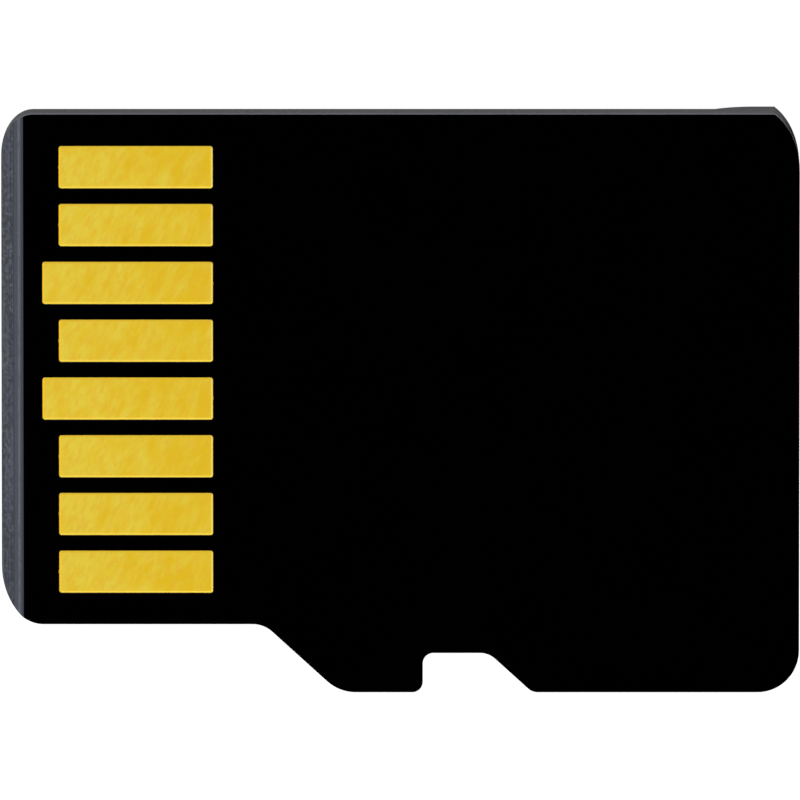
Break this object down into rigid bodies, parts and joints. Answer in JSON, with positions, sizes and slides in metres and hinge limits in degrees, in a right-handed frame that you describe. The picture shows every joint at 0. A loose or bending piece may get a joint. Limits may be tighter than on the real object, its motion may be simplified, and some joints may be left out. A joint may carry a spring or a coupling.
{
  "type": "removable memory card",
  "caption": "Thin flat removable memory card with a row of gilt contacts, a stepped side with a latch notch, a ground front bevel and a raised finger lip.",
  "frame": {"origin": "middle of the card's bounding box, at the height of the finger lip's crest, on which the card lies with its contacts up", "axes": "+X towards the rear end with the finger lip, so the front end enters its socket along -X; +Y towards the plain long side; +Z out of the contact face"},
  "size_m": [0.015, 0.011, 0.001],
  "materials": {
    "mould": "dark grey epoxy moulding with a fine filler speckle, saw-cut sides",
    "laminate": "dark glass-epoxy, cut edge",
    "face_mask": "deep black solder mask",
    "inner_mask": "black solder mask",
    "contact_gold": "satin gold plating with a faint brushed mottle",
    "board_copper": "plated copper",
    "silicon": "ground silicon",
    "attach_film": "die-attach film",
    "bond_gold": "drawn gold wire",
    "solder": "tin solder",
    "capacitor_ceramic": "fired ceramic",
    "resistor_ceramic": "white alumina",
    "terminal_metal": "matt tin plating"
  },
  "bodies": {
    "root": {"mould_body": "mould", "laminate_core": "laminate", "contact_side_mask": "face_mask", "die_side_mask": "inner_mask", "contact_1_data2": "contact_gold", "contact_2_data3": "contact_gold", "contact_3_command": "contact_gold", "contact_4_supply": "contact_gold", "contact_5_clock": "contact_gold", "contact_6_ground": "contact_gold", "contact_7_data0": "contact_gold", "contact_8_data1": "contact_gold", "flash_traces": "board_copper", "component_lands": "board_copper", "flash_die_1": "silicon", "flash_die_2": "silicon", "flash_die_3": "silicon", "flash_die_4": "silicon", "die_film_1": "attach_film", "die_film_2": "attach_film", "die_film_3": "attach_film", "die_film_4": "attach_film", "controller_die": "silicon", "controller_film": "attach_film", "flash_wires_1": "bond_gold", "flash_wires_2": "bond_gold", "flash_wires_3": "bond_gold", "flash_wires_4": "bond_gold", "controller_front_wires": "bond_gold", "controller_rear_wires": "bond_gold", "solder_joints": "solder", "capacitor_1": "capacitor_ceramic", "capacitor_2": "capacitor_ceramic", "capacitor_3": "capacitor_ceramic", "capacitor_4": "capacitor_ceramic", "capacitor_1_terminals": "terminal_metal", "capacitor_2_terminals": "terminal_metal", "capacitor_3_terminals": "terminal_metal", "capacitor_4_terminals": "terminal_metal", "resistor_1": "resistor_ceramic", "resistor_2": "resistor_ceramic", "resistor_1_terminals": "terminal_metal", "resistor_2_terminals": "terminal_metal"}
  },
  "joints": []
}
